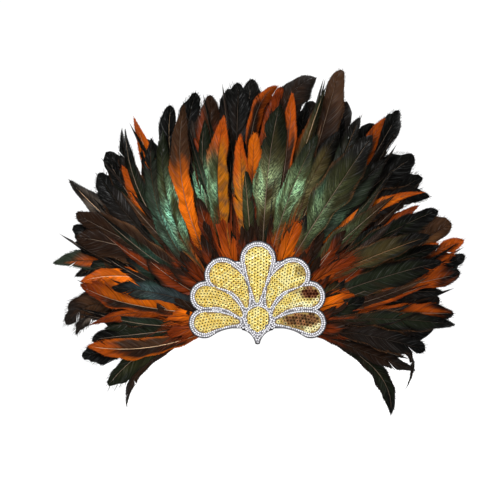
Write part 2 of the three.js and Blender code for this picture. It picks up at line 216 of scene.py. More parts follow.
# Feather rows, back to front, as in the frame. Columns: root place on the tape (degrees from +X),
# tip across and up from the middle of the fan, bow of the spine to its left, share of the length
# where it bows, width, tip form and look
ROWS = {
    "feather_row_1": [
        (181, -173, -109, -28, 0.75, 12, "point", "umber"),
        (180, -233, -42, 0, 0.6, 28, "blunt", "black_ragged"),
        (177, -241, -14, -36, 0.85, 20, "round", "grey_ragged"),
        (160, -273, 82, -27, 0.6, 28, "round", "ember"),
        (146, -253, 194, 7, 0.5, 25, "round", "grey"),
        (141, -181, 262, 31, 0.65, 26, "point", "black"),
        (127, -82, 311, 34, 0.5, 32, "blunt", "black"),
        (96, -7, 329, 7, 0.5, 37, "blunt", "blue_black"),
        (84, 32, 318, 4, 0.5, 36, "blunt", "burnt"),
        (77, 67, 300, 0, 0.5, 21, "round", "black"),
        (58, 190, 287, -4, 0.5, 34, "blunt", "black"),
        (50, 220, 197, 16, 0.5, 38, "blunt", "black"),
        (34, 259, 136, 4, 0.5, 40, "blunt", "paddle"),
        (18, 278, 91, -4, 0.5, 32, "blunt", "black"),
        (9, 244, 33, -5, 0.5, 26, "blunt", "black"),
        (1, 196, -84, 48, 1, 7, "point", "black"),
    ],
    "feather_row_2": [
        (178, -198, -82, -18, 0.4, 27, "blunt", "green_ragged"),
        (174, -255, -1, -31, 0.85, 32, "round", "brown_ragged"),
        (162, -243, 64, -32, 0.65, 22, "round", "slate"),
        (150, -244, 109, -34, 0.55, 25, "round", "black"),
        (143, -200, 221, 14, 0.6, 26, "round", "black_green"),
        (137, -165, 277, 16, 0.4, 21, "round", "copper"),
        (119, -93, 293, 14, 0.45, 19, "round", "grey"),
        (104, -27, 323, 12, 0.5, 46, "blunt", "black"),
        (87, 79, 329, 29, 0.9, 34, "round", "umber"),
        (72, 112, 342, -6, 0.5, 30, "blunt", "bronze"),
        (58, 209, 226, 16, 0.5, 44, "blunt", "black"),
        (40, 215, 159, 5, 0.5, 19, "round", "burnt"),
        (22, 276, 113, -4, 0.6, 34, "round", "orange_tip"),
        (16, 247, 44, 8, 0.5, 24, "round", "black"),
        (4, 222, -7, -2, 0.5, 20, "round", "umber"),
        (1, 176, -119, 31, 0.75, 19, "round", "drooping"),
    ],
    "feather_row_3": [
        (176, -202, -4, -4, 0.5, 21, "round", "green_edge"),
        (163, -234, 58, -22, 0.6, 23, "round", "orange"),
        (155, -240, 116, -19, 0.5, 34, "blunt", "brown"),
        (147, -212, 202, 12, 0.6, 35, "blunt", "black"),
        (140, -180, 212, 12, 0.5, 24, "round", "copper"),
        (132, -116, 293, 29, 0.55, 26, "blunt", "black_pale"),
        (118, -62, 306, 20, 0.45, 34, "blunt", "rust"),
        (93, 27, 317, 28, 0.9, 16, "round", "orange_tip"),
        (75, 91, 317, 4, 0.5, 24, "point", "olive_edge"),
        (60, 170, 276, 0, 0.5, 26, "round", "orange_edge"),
        (54, 230, 170, 32, 0.72, 30, "round", "black"),
        (39, 240, 151, 7, 0.5, 28, "blunt", "black_green"),
        (17, 270, 69, 4, 0.5, 30, "blunt", "black_tip"),
        (7, 260, 15, 4, 0.5, 25, "blunt", "black_tip"),
        (2, 198, -44, 2, 0.5, 17, "point", "black"),
    ],
    "feather_row_4": [
        (179, -220, -20, 0, 0.5, 26, "blunt", "black_green"),
        (172, -222, 0, -15, 0.55, 16, "point", "burnt"),
        (150, -241, 148, -9, 0.5, 30, "blunt", "brown"),
        (140, -176, 261, 28, 0.6, 21, "point", "black_green"),
        (120, -70, 272, 19, 0.45, 29, "round", "mint"),
        (92, -3, 255, 2, 0.5, 19, "blunt", "orange_end"),
        (80, 46, 309, -4, 0.5, 20, "round", "orange_tip"),
        (66, 136, 277, -4, 0.5, 29, "round", "slate"),
        (60, 169, 219, 10, 0.5, 34, "round", "slate"),
        (52, 222, 176, 26, 0.65, 16, "point", "copper"),
        (28, 242, 106, 5, 0.5, 21, "round", "black_green"),
        (14, 231, 56, -7, 0.5, 11, "point", "burnt"),
        (3, 209, -60, 0, 0.5, 18, "round", "umber"),
    ],
    "feather_row_5": [
        (177, -225, -27, 14, 0.5, 26, "round", "hero_low"),
        (165, -235, 54, 3, 0.5, 32, "round", "hero_side"),
        (140, -140, 248, 34, 0.5, 24, "round", "slate"),
        (130, -97, 292, 31, 0.52, 23, "round", "hero_orange"),
        (100, -23, 252, 4, 0.5, 19, "round", "barred"),
        (86, 30, 292, 2, 0.5, 40, "round", "hero_mint"),
        (72, 109, 258, 10, 0.5, 29, "round", "olive"),
        (47, 182, 172, 6, 0.5, 21, "point", "mint_brown"),
        (24, 245, 84, 4, 0.5, 32, "round", "black_green"),
        (5, 262, 0, 5, 0.5, 24, "round", "black_green"),
    ],
    "feather_row_6": [
        (165, -193, 50, -8, 0.5, 24, "round", "teal"),
        (137, -125, 258, 31, 0.5, 24, "round", "mint"),
        (115, -44, 277, 20, 0.48, 26, "round", "split"),
        (95, -19, 219, 0, 0.5, 16, "round", "green_pale"),
        (78, 80, 252, 11, 0.5, 24, "round", "mint"),
        (64, 152, 252, 5, 0.5, 40, "round", "green"),
        (37, 229, 119, 11, 0.5, 26, "round", "olive"),
        (3, 223, -33, 4, 0.5, 27, "blunt", "black"),
    ],
    "feather_tufts": [
        (179, -119, -14, -4, 0.5, 20, "blunt", "tuft_orange"),
        (170, -125, 12, -4, 0.5, 22, "blunt", "tuft_bright"),
        (152, -118, 74, -5, 0.5, 16, "round", "tuft_rust"),
        (140, -104, 102, 5, 0.5, 18, "round", "tuft_rust"),
        (119, -76, 122, 6, 0.5, 18, "round", "tuft_rust"),
        (106, -46, 142, 6, 0.5, 26, "blunt", "tuft_orange"),
        (91, -7, 133, 0, 0.5, 14, "round", "tuft_rust"),
        (68, 54, 138, 0, 0.5, 26, "blunt", "tuft_bright"),
        (58, 84, 129, -4, 0.5, 14, "round", "tuft_rust"),
        (34, 131, 91, 5, 0.5, 20, "round", "tuft_orange"),
        (14, 132, 37, 3, 0.5, 26, "blunt", "tuft_bright"),
        (1, 126, -2, -3, 0.5, 18, "round", "tuft_rust"),
    ],
}
SLOTS = {
    "feather_row_1": "feather_dark",
    "feather_row_2": "feather_brown",
    "feather_row_3": "feather_dark",
    "feather_row_4": "feather_green",
    "feather_row_5": "feather_orange",
    "feather_row_6": "feather_green",
    "feather_tufts": "feather_orange",
}

# More feathers, which close the fan and break it up. Columns: every so many degrees, share of the
# fan's reach, width, tip form, share of the row's room that they stand in front, and the looks in turn
EXTRAS = {
    "feather_row_1": (4.5, 0.91, 36, "blunt", -0.3, ("black", "under_dark", "umber")),
    "feather_row_2": (5.3, 0.95, 12, "point", 0.2, ("umber", "black", "umber", "black_green")),
    "feather_row_3": (6.5, 0.74, 30, "round", -0.3, ("under_dark", "umber", "black_green")),
    "feather_row_4": (6.1, 0.84, 13, "point", 0.2, ("black", "umber", "bronze", "black_green", "rust")),
    "feather_row_5": (8, 0.56, 24, "round", -0.3, ("under_rust", "black_green", "rust")),
    "feather_row_6": (13, 0.47, 16, "round", -0.4, ("tuft_rust", "tuft_dark", "olive")),
    "feather_tufts": (11, 0.4, 16, "round", -0.4, ("tuft_dark", "tuft_rust")),
}
EXTRA_FROM = 3
EXTRA_TO = 178
EXTRA_BOW = 10
EXTRA_BOWS_AT = 0.5
EXTRA_SWING = 0.06
SWING_STEP = 5
EXTRA_LEAN = 4
LEAN_STEP = 3
# Long ones leave the fan's edge open between these degrees
LONG_SHARE = 0.9
OPEN_FROM = 27
OPEN_TO = 41
# The fan's reach in a direction: the mean of the longest few feathers that end within so many degrees
REACH_WITHIN = 9
REACH_OF = 3

# Vanes: thin sheets whose lines run along the barbs from the shaft to the outline
LINE_PITCH = 5
FEWEST_LINES = 16
LINE_SHARES = np.array([0, 0.2, 0.42, 0.64, 0.84, 1])
OUTLINE_STEPS = 240
VANE_THICK = 0.3
VANE_FROM = 0.06
VANE_WIDER = 1.12
BARB_FROM = 0.4 * VANE_FROM
BARB_BEND = 0.25
TIP_BARB = 7
SLANT_AT_ROOT = 0.9
SLANT_AT_TIP = 1.9
EDGE_WAVE = 0.09
EDGE_SWINGS = (15, 34)
SKEW_MOST = 0.25
# Left and right of the spine
SIDES = (1, -1)

# How a vane rises and falls, in shares of the room between the rows, and how its tip curls
ROLL_SHARE = 0.65
ROLL_RANGE = (0.6, 1.3)
CAMBER_SHARE = 0.8
CAMBER_RANGE = (-0.2, 1.4)
WAVE_SHARE = 0.16
WAVE_TURNS = 11
WAVE_SLANT = 0.8
ACROSS_MOST = 1.3
NARROWEST = 2
TIP_CURL = 5
CURL_FROM = 0.55
STREAK_DEEP = 0.22

# Splits in a vane: how wide they open, and how the barbs beside them shorten and lift
SPLIT_MARGIN = 3
SPLIT_OPENS = (0.4, 1.2)
SPLIT_POWER = 4
SPLIT_SHORT = 0.1
PATCH_LIFT = 0.2
PATCH_LIFT_PER_GAP = 0.12

# Loose barb ends at the edge, and the shaft
FRINGE_PITCH = 2
FRINGE_FROM = 0.86
FRINGE_BENDS_AT = 0.4
FRINGE_HALF = 0.3
FRINGE_TAPER = np.array((1, 0.8))
FRINGE_THICK = 0.2
FRINGE_LIFT = 0.1
FRINGE_WANDER = 0.5
FRINGE_NARROWEST = 3
SHAFT_TO = 0.97
SHAFT_STATIONS = 15
SHAFT_CORNERS = 6
SHAFT_THICK = 0.55
SHAFT_FINE = 0.12
SHAFT_TAPER = 0.9
SHAFT_DARK = 0.12
SHAFT_VARIES = 1.8
SHAFT_AT_ROOT = 0.6
SHAFT_CLEARS = (0.1, 0.4)

# How the colours of a vane run into each other
EDGE_BLEND = 0.4
EDGE_WANDER = 0.2
STAIN_DEEP = 0.45
STAIN_RANGE = (0.1, 1.1)
RIM_DEEP = 0.7
BAR_LENGTH = 3.4
BAR_WANDER = 2.2
BAR_SLANT = 1.5
BAR_FRAY = 0.4
BAR_RANGE = (-0.1, 0.7)
BAR_DEEP = 0.8
TIP_BLEND = (-0.08, 0.1)
TIP_WANDER = 0.06
ROOT_TO = 0.4
ROOT_BLEND = 0.26
ROOT_WANDER = 0.09
SHADE_VARIES = 0.13
WANDER_SPAN = 8
# Keeps the seeds from going below zero
SEED_SHIFT = 10

# Marks that set the grain of one barb or vane apart from the next, and the flat chart of a feather
GRAIN_APART = 40
GRAIN_SIDE = 9
GRAIN_MARKS = 100
CHART_FILL = 0.45
CHART_SPARE = 3
CHART_LONG = 1.05

# Where the light plays green on the iridescent feathers, painted in: a painted highlight in a belt round
# the fan, bluer to the left
GLINT_RADIUS = 198
GLINT_WIDE = 36
GLINT_ANGLE = 106
GLINT_SPAN = 56
GLINT_DROP = 0.6
GLINT_LEVEL = 0.75
GLINT_WANDER = 0.8
GLINT_MOST = 1.5
GLEAM_SHARE = 0.06
SEA_FROM = 98
SEA_TO = 126

# Applique
FELT_THICK = 2
FELT_EDGE = 0.9
FELT_BACK = GAP + len(ROWS) * ROW_PITCH
FELT_CLEAR = 0.05
FELT_MIDDLE = 28
FELT_STEPS = 480
FELT_REACH = np.arange(0, 120, 0.2)
# Columns: share of the reach to the rim, distance kept from the rim, level from the back to the front
FELT_SECTION = [
    (0.02, 0, 0),
    (0.5, 0, 0),
    (1, 0.6, 0),
    (1, 0, 0.25),
    (1, 0, 0.75),
    (1, 0.6, 1),
    (0.5, 0, 1),
    (0.02, 0, 1),
]
BORDER_WIDE = 6.3
PAD_TAPER = 1.3
PAD_SAMPLES = 48
PAD_CAP_STEPS = 40


def mirrored(row):
    """The same pad on the other side of the middle."""
    head_x, head_y, head, bend_x, bend_y, tail_x, tail_y, tail = row
    return (-head_x, head_y, head, -bend_x, bend_y, -tail_x, tail_y, tail)


# Sequin pads, as in the frame. Columns: head across, up and radius, bend of the axis across and up,
# tail across, up and radius
SIDE_PADS = {
    "sequin_petal_upper": (46.3, 66.4, 17, 19.6, 57.3, 15.1, 27.9, 3.6),
    "sequin_petal_middle": (68.5, 38.3, 14, 40.4, 38.6, 23.3, 15.6, 4),
    "sequin_petal_lower": (70.2, 3.8, 13.3, 46, 9.6, 25.7, 5, 3),
}
PADS = {
    "sequin_petal_top": (0.6, 86.8, 17.2, 0, 60, -0.6, 33, 2.6),
    "sequin_drop": (0.5, 9.8, 15, 0.3, 3, 0, -3, 4.5),
    **{f"{name}_right": row for name, row in SIDE_PADS.items()},
    **{f"{name}_left": mirrored(row) for name, row in SIDE_PADS.items()},
}
# Parts of the border that no pad has: webs beside and under the top petal, and the lower tip
NOTCH_WEB = (28.5, 73.5, 4.7, 26, 68, 24, 62, 4.6)
BORDER_WEBS = [(0.6, 87.6, 17.1, 0.6, 70, 0.4, 56, 15), NOTCH_WEB, mirrored(NOTCH_WEB)]
BORDER_TIP = (0, 6, 16, 0, -5.2, 0, -16.6, 0.8)
# Arches under the applique and beside its tip. Columns: across, down, radius
WIDE_ARCH = (27, 62.5, 60)
TIP_ARCH = (24.3, 27, 22.4)

# Seed beads sewn on the border
BEAD_RADIUS = 1.25
BEAD_STEP = 2.7
BEAD_ROWS = (1.4, 4.35, 7.2)
BEAD_OVER = 0.55
BEAD_OFF_PADS = 0.5
BEAD_CLEAR = 0.86
BEAD_FILL_CLEAR = 0.9
BEAD_SIDES = 8
BEAD_RINGS = 4
BEAD_SEED = 5
BEAD_RISE = (0.1, 0.4)
BEAD_VARIES = 0.2
BEAD_DARKEST = 0.3
BEAD_TINT = (0.97, 0.96, 1)
FILL_ACROSS = np.arange(-96, 96, 0.5)
FILL_UP = np.arange(-30, 116, 0.5)

# Cupped sequins sewn on the pads, each held by a dark knot
SEQUIN_RADIUS = 2.35
SEQUIN_HOLE = 0.8
SEQUIN_FLAT = 0.55
SEQUIN_CUP = 0.25
SEQUIN_THICK = 0.12
SEQUIN_SIDES = 12
SEQUIN_STEP = 4.15
SEQUIN_STARTS = (0.25, 0.75)
SEQUIN_ROW = 3.75
SEQUIN_SPARE = 1.5
SEQUIN_LEAN = 4
SEQUIN_TILT = 0.045
SEQUIN_INSET = 1.6
SEQUIN_SEAT = 0.35
SEQUIN_RISE = 0.15
LEFT_SEED = 7
KNOT_RADIUS = 1.1
KNOT_RISE = 0.35
KNOT_SIDES = 6
KNOT_SHADE = 0.08
SEQUIN_GOLD = np.array((0.85, 0.64, 0.14))
SEQUIN_PALE = np.array((1, 0.92, 0.42))
# Colours of the painted shade, brown to copper, on sequins turned out of the light
SEQUIN_SHADE_BROWN = np.array((0.07, 0.02, 0.01))
SEQUIN_SHADE_COPPER = np.array((0.36, 0.14, 0.06))
# Painted shade on the left petals: darker and warmer
SEQUIN_LEFT_SHADE = np.array((0.92, 0.84, 0.7))
# Colour of the painted highlight on sequin rows that catch the light
SEQUIN_BRIGHT = np.array((1, 0.95, 0.6))
PALE_RANGE = (-0.3, 1)
SHADE_COPPER_POWER = 3
# Painted shade: petals on the left are darkened and warmed, from and to these places across
LEFT_SHADE_FROM = -8
LEFT_SHADE_TO = -30
# Painted shade (dark reflections) and painted highlights on the sequins. Columns: middle of a shaded or a
# bright patch, its half width and half height, and its strength
SEQUIN_SHADOWS = [
    (56.5, 73, 8, 9, 0.55),
    (69, 43, 14, 9, 1),
    (51, 46.5, 7, 5, 0.55),
    (58, 9, 28, 12, 0.95),
]
SEQUIN_LIGHTS = [
    (48, 27, 7, 3, 0.7),
    (59, 27.5, 7, 3.2, 1),
    (71, 27.5, 7, 3, 1),
    (79.5, 32.5, 3.5, 4, 1),
    (70, -5.5, 9, 4, 0.6),
    (81, -1.5, 4, 4.5, 0.9),
]
PATCH_FROM = 1.25
PATCH_FULL = 0.7

# Band: a woven loop with lengthwise ribs
BAND_WIDTH = 148
BAND_LENGTH = 180
BAND_CORNER = 28
BAND_THICK = 2
BAND_HIGH = 25
BAND_STEPS = 240
BAND_ARC_STEPS = 120
BAND_ROUND = 0.55
BAND_RIBS = 11
RIB_POINTS = 4
RIB_DEEP = 0.22
RIB_SHARP = 3

# Roughness of the feathers
FEATHER_ROUGH = {
    "feather_dark": 0.42,
    "feather_brown": 0.5,
    "feather_green": 0.38,
    "feather_orange": 0.55,
}
# Cloth. Columns: dark and light fibres, how fine they are, roughness
CLOTHS = {
    "rim_thread": ((0.08, 0.08, 0.09), (0.3, 0.29, 0.32), 900.0, 0.8),
    "pad_cloth": ((0.3, 0.19, 0.05), (0.5, 0.34, 0.1), 500.0, 0.9),
    "felt": ((0.006, 0.006, 0.007), (0.03, 0.028, 0.03), 420.0, 0.95),
    "band_weave": ((0.008, 0.007, 0.007), (0.035, 0.031, 0.028), 900.0, 0.85),
}

# Studio, in metres and watts. Columns of the lights: place, size, power
LIGHTS = {
    "key": ((-0.8, -1.4, 1.4), (0.8, 0.5), 30),
    "top": ((0.2, -0.9, 1.7), (1.6, 0.6), 9),
    "fill": ((1.4, -1.8, 0.5), (0.8, 1.0), 5),
}
LIGHTS_AIM = (0, FACE_Y * MM, 0.15)
SURROUND = {"From Min": -0.6, "From Max": 0.6, "To Min": 0.08, "To Max": 1.05}
FLOOR_HALF = 12
FLOOR_Z = -0.45
FLOOR_GREY = (0.9, 0.9, 0.9)
WHITE = (1, 1, 1, 1)
TINY = 1e-6


def mix(a, b, share):
    return a + (b - a) * np.asarray(share)[..., None]


def smooth_step(low, high, value):
    share = np.clip((value - low) / (high - low), 0, 1)
    return share * share * (3 - 2 * share)


def left_of(along):
    """Directions a quarter turn to the left, in the plane of the fan."""
    return np.stack((-along[..., 1], along[..., 0]), -1)


def unit(vectors):
    return vectors / np.linalg.norm(vectors, axis=-1, keepdims=True)


def bent_line(start, middle, end, t):
    """Places and directions at shares t of the way along a line that bends towards its middle point."""
    t = np.asarray(t, float)[..., None]
    place = (1 - t) ** 2 * start + 2 * t * (1 - t) * middle + t**2 * end
    return place, unit((1 - t) * (middle - start) + t * (end - middle))


def run_along(points):
    """Distances along a line of points from its first one."""
    return np.concatenate(([0], np.cumsum(np.hypot(*np.diff(points, axis=0).T))))


def at_runs(points, run, at):
    """What a line of points passes at the given distances along it."""
    return np.stack([np.interp(at, run, points[:, i]) for i in (0, 1)], -1)


def angles_round(count):
    return np.arange(count) * 2 * math.pi / count


def to_world(points):
    """From the fan's millimetres (across, up, towards the viewer) to the frame's metres."""
    return np.stack((points[:, 0], FACE_Y - points[:, 2], FAN_HIGH + points[:, 1]), -1) * MM


def mesh_object(name, points, faces, smooth, material):
    """A mesh object from points in metres and face arrays, each of one face size and shading."""
    mesh = bpy.data.meshes.new(name)
    mesh.vertices.add(len(points))
    mesh.vertices.foreach_set("co", np.asarray(points, np.float32).ravel())
    corners = np.concatenate([f.ravel() for f in faces]).astype(np.int32)
    sizes = np.concatenate([np.full(len(f), f.shape[1]) for f in faces])
    mesh.loops.add(len(corners))
    mesh.loops.foreach_set("vertex_index", corners)
    mesh.polygons.add(len(sizes))
    mesh.polygons.foreach_set("loop_start", (np.cumsum(sizes) - sizes).astype(np.int32))
    mesh.polygons.foreach_set("use_smooth", np.repeat(smooth, [len(f) for f in faces]))
    mesh.update(calc_edges=True)
    mesh.materials.append(material)
    made = bpy.data.objects.new(name, mesh)
    bpy.context.scene.collection.objects.link(made)
    return made


def point_values(mesh, name, kind, field, values):
    """A value for each point, which a material reads by its name."""
    made = mesh.attributes.new(name, kind, "POINT")
    made.data.foreach_set(field, np.asarray(values, np.float32).ravel())


def point_tints(mesh, tints):
    point_values(mesh, "tint", "FLOAT_COLOR", "color", np.c_[tints, np.ones(len(tints))])


def ring_faces(rings, sides, closed):
    """Quads between rings of points that follow each other, and back to the first if closed."""
    corner = np.arange(sides)
    after = (corner + 1) % sides
    quads = []
    for ring in range(rings if closed else rings - 1):
        low = ring * sides
        high = (ring + 1) % rings * sides
        quads.append(np.stack((low + corner, low + after, high + after, high + corner), -1))
    return np.concatenate(quads)


def cap_faces(first, sides, apex):
    """Triangles from a ring of points, which starts at first, to an apex."""
    corner = np.arange(sides)
    return np.stack((first + corner, first + (corner + 1) % sides, np.full(sides, apex)), -1)


class Plumes:
    """Thin sheets and tapering strands gathered into one mesh, in the fan's own millimetres."""

    def __init__(self):
        self.count = 0
        self.points = []
        self.faces = []
        self.smooth = []
        self.tint = []
        self.glint = []
        self.grain = []
        self.chart = []

    def put(self, faces, smooth):
        self.faces.append(faces.reshape(-1, faces.shape[-1]))
        self.smooth.append(smooth)

    def keep(self, points, tint, glint, grain, chart):
        self.points.append(points.reshape(-1, 3))
        self.tint.append(tint.reshape(-1, 3))
        self.glint.append(glint.ravel())
        self.grain.append(grain.reshape(-1, 3))
        self.chart.append(chart.reshape(-1, 2))
        self.count += points.size // 3

    def sheet(self, centre, flip, *looks):
        """A closed thin sheet from a grid of points (line, station, 3), with looks given per point."""
        lines, stations, _ = centre.shape
        back = lines * stations
        index = self.count + np.arange(back).reshape(lines, stations)
        front = np.stack((index[:-1, :-1], index[1:, :-1], index[1:, 1:], index[:-1, 1:]), -1)
        rim = np.concatenate((index[0, :-1], index[:-1, -1], index[-1, :0:-1], index[:0:-1, 0]))
        after = np.roll(rim, -1)
        edge = np.stack((rim, after, after + back, rim + back), -1)
        turn = -1 if flip else 1
        self.put(front[..., ::turn], True)
        self.put((front + back)[..., ::-turn], True)
        self.put(edge[..., ::turn], False)
        half = np.array((0, 0, VANE_THICK / 2))
        self.keep(np.stack((centre + half, centre - half)), *(np.stack((each, each)) for each in looks))

    def strands(self, rings, tips, tint, glint, along, across, mark, chart):
        """Closed strands from rings (strand, station, corner, 3) to their tips, with looks per station."""
        many, stations, corners, _ = rings.shape
        block = stations * corners + 1
        first = self.count + block * np.arange(many)[:, None, None]
        self.put(first + ring_faces(stations, corners, False), False)
        self.put(first + cap_faces(corners * (stations - 1), corners, block - 1), False)
        self.put(first + np.arange(corners)[::-1], False)

        def each(value):
            return np.concatenate((np.repeat(value[:, :-1], corners, 1), value[:, -1:]), 1)

        points = np.concatenate((rings.reshape(many, -1, 3), tips[:, None]), 1)
        lanes = np.concatenate((np.tile(across, stations), [0]))
        grain = np.stack(np.broadcast_arrays(each(along), lanes, mark[:, None]), -1)
        self.keep(points, each(tint), each(glint), grain, each(chart))

    def to_object(self, name, material):
        points = to_world(np.concatenate(self.points))
        made = mesh_object(name, points, self.faces, self.smooth, material)
        mesh = made.data
        point_tints(mesh, np.concatenate(self.tint))
        # glint: strength of the painted highlight, read by the feather material
        point_values(mesh, "glint", "FLOAT", "value", np.concatenate(self.glint))
        point_values(mesh, "grain", "FLOAT_VECTOR", "vector", np.concatenate(self.grain))
        corner = np.zeros(len(mesh.loops), np.int32)
        mesh.loops.foreach_get("vertex_index", corner)
        chart = mesh.uv_layers.new(name="OFBake")
        chart.uv.foreach_set("vector", np.concatenate(self.chart)[corner].astype(np.float32).ravel())
        return made


def spread_at(radius):
    return ROW_SPREAD * (np.maximum(0, radius - SPREAD_FROM) / SPREAD_OVER) ** SPREAD_POWER


def row_depth(row, radius):
    """Depth of a row's middle surface, towards the viewer."""
    tape_middle = GAP + row * ROW_PITCH + TAPE_THICK / 2
    swept = np.maximum(0, radius - SWEEP_FROM) / SWEEP_OVER
    return tape_middle + (row - LEVEL_ROW) * spread_at(radius) - SWEEP_BACK * swept**SWEEP_POWER


class Feather:
    """One feather of a row: where it lies, how it curls, and its colours."""

    def __init__(self, row, line, lift, band, seed):
        root, tip_x, tip_y, bow, bows_at, self.width, self.tip, name = line
        self.row = row
        self.lift = lift
        self.band = band
        self.look = LOOKS[name]
        self.random = np.random.default_rng(seed)
        self.start = ROOT_RADIUS * np.array((math.cos(root * DEG), math.sin(root * DEG)))
        self.end = np.array((tip_x, tip_y), float)
        chord = self.end - self.start
        self.length = float(np.hypot(*chord))
        self.middle = self.start + bows_at * chord + 2 * bow * (left_of(chord) / self.length)
        self.skew = self.random.uniform(-SKEW_MOST, SKEW_MOST)
        if self.look["skew"] is not None:
            self.skew = self.look["skew"]
        self.roll = (-1) ** row * ROLL_SHARE * self.random.uniform(*ROLL_RANGE)
        self.camber = CAMBER_SHARE * self.random.uniform(*CAMBER_RANGE)
        self.curl = TIP_CURL * self.random.normal()
        self.phase = self.random.uniform(0, 2 * math.pi)
        self.shade = np.exp(SHADE_VARIES * self.random.normal())
        self.stations = np.linspace(VANE_FROM, 1, OUTLINE_STEPS)
        steps = np.hypot(np.diff(self.stations) * self.length, np.diff(self.half(self.stations)))
        self.run = np.concatenate(([0], np.cumsum(steps)))

    def half(self, t):
        """Half width at shares t of the way to the tip."""
        swell, full = TIPS[self.tip]
        return self.width / 2 * np.sin(math.pi * np.clip(t, 0, 1) ** swell).clip(0) ** full

    def edge(self, side, t):
        """Half width of one side, with the small swings of a real vane."""
        slow, quick = EDGE_SWINGS
        swing = np.sin(slow * t + self.phase + side) + np.sin(quick * t + 2 * self.phase - 2 * side)
        return VANE_WIDER * self.half(t) * (1 + EDGE_WAVE * swing)

    def ends(self, shares):
        """Where barbs end that are spread by shares of the run along the outline."""
        return np.interp(shares * self.run[-1], self.run, self.stations)

    def lay(self, t, w):
        """Places in the fan for shares t of the way to the tip and distances w to the left."""
        place, along = bent_line(self.start, self.middle, self.end, t)
        xy = place + left_of(along) * np.asarray(w)[..., None]
        radius = np.hypot(xy[..., 0], xy[..., 1])
        room = ROW_PITCH + spread_at(radius)
        across = np.clip(w / np.maximum(self.half(t), NARROWEST), -ACROSS_MOST, ACROSS_MOST)
        wave = WAVE_SHARE * np.sin(WAVE_TURNS * t + self.phase + WAVE_SLANT * across) * across**2
        rise = self.lift + self.roll * across - self.camber * across**2 + wave
        curl = self.curl * (np.maximum(0, t - CURL_FROM) / (1 - CURL_FROM)) ** 2
        depth = row_depth(self.row, radius) + room * rise + curl
        return np.concatenate((xy, depth[..., None]), -1)

    def chart(self, t, w):
        """Place on the flat chart: each feather has a band of its own."""
        low, high = self.band
        across = 0.5 + CHART_FILL * np.clip(w / (self.width / 2 + CHART_SPARE), -1, 1)
        return np.stack((np.clip(t, 0, CHART_LONG) / CHART_LONG, low + (high - low) * across), -1)

    def barb(self, side, t_end, u):
        """Shares along and distances across, at shares u of the barbs that end at t_end."""
        half_end = self.edge(side, t_end)
        slant = SLANT_AT_ROOT + (SLANT_AT_TIP - SLANT_AT_ROOT) * np.clip(t_end, 0, 1)
        run = np.maximum(half_end * (1 - side * self.skew) * slant * self.look["slant"], TIP_BARB)
        t_root = np.maximum(t_end - run / self.length, BARB_FROM)
        w_root = self.skew * self.half(t_root)
        bend = BARB_BEND * u * (1 - u)
        t = t_root[:, None] + (t_end - t_root)[:, None] * (u - bend)
        w = w_root[:, None] + (side * half_end - w_root)[:, None] * (u + bend)
        return t, w

    def paint(self, t, reach, side, wander, stain, place):
        """Colour, with its painted highlight, and glint at shares t along the feather, reach from the
        shaft (0) to the edge (1).
        """
        own = self.look
        core = INK[own["core"]]
        edge = INK[own["edge"]]
        bar = own["bar"]
        plain_side = side < 0 and own["other"]
        if plain_side:
            core = INK[own["other"]]
            edge = core
            bar = own["other_bar"]
        edge_from = own["edge_from"]
        outer = smooth_step(edge_from, edge_from + EDGE_BLEND, reach + EDGE_WANDER * wander)
        colour = mix(core, edge, outer)
        colour = mix(colour, INK["umber"], STAIN_DEEP * smooth_step(*STAIN_RANGE, stain))
        if own["rim"]:
            colour = mix(colour, INK[own["rim"]], RIM_DEEP * smooth_step(own["rim_from"], 1, reach))
        if bar:
            turn = t * self.length / BAR_LENGTH + self.phase + BAR_WANDER * wander + BAR_SLANT * reach
            barred = smooth_step(*BAR_RANGE, np.sin(turn) + BAR_FRAY * wander)
            colour = mix(colour, INK[bar], BAR_DEEP * barred)
        tip_low, tip_high = (own["tip_from"] + step for step in TIP_BLEND)
        ended = smooth_step(tip_low, tip_high, t + TIP_WANDER * wander)
        colour = mix(colour, INK[own["tip"]], ended)
        fresh = smooth_step(ROOT_TO - ROOT_BLEND, ROOT_TO, t + ROOT_WANDER * wander)
        colour = mix(np.broadcast_to(INK[own["root"]], colour.shape), colour, fresh)
        # Painted highlight: glint is strongest in a belt round the fan where the light catches it, and its
        # mint to sea colour is mixed into the tint
        radius = np.hypot(place[..., 0], place[..., 1])
        angle = np.arctan2(place[..., 1], place[..., 0]) / DEG
        middle = GLINT_RADIUS - GLINT_DROP * np.abs(GLINT_ANGLE - angle)
        belt = np.exp(-(((radius - middle) / GLINT_WIDE) ** 2))
        lit = np.exp(-(((angle - GLINT_ANGLE) / GLINT_SPAN) ** 2))
        varied = np.clip(GLINT_LEVEL + GLINT_WANDER * wander, 0, GLINT_MOST)
        glint = own["glint"] * belt * lit * (1 - ended) * varied
        if plain_side:
            glint = 0 * glint
        gleam = mix(INK["mint"], INK["sea"], smooth_step(SEA_FROM, SEA_TO, angle))
        colour = mix(colour, gleam, np.clip(GLEAM_SHARE * glint, 0, 1))
        return np.clip(colour * self.shade, 0, 1), np.clip(glint, 0, 1)


def wandering(random, lines, stations):
    """Slowly varying random numbers, about -1 to 1, over the lines of a vane."""
    raw = random.normal(size=(lines + WANDER_SPAN, stations + 2))
    window = np.hanning(WANDER_SPAN)[1:-1]
    slow = np.apply_along_axis(lambda run: np.convolve(run, window, "same"), 0, raw)
    slow = (slow[:, :-2] + 2 * slow[:, 1:-1] + slow[:, 2:]) / 4
    first = WANDER_SPAN // 2
    return slow[first : first + lines] / np.sqrt((window**2).sum())


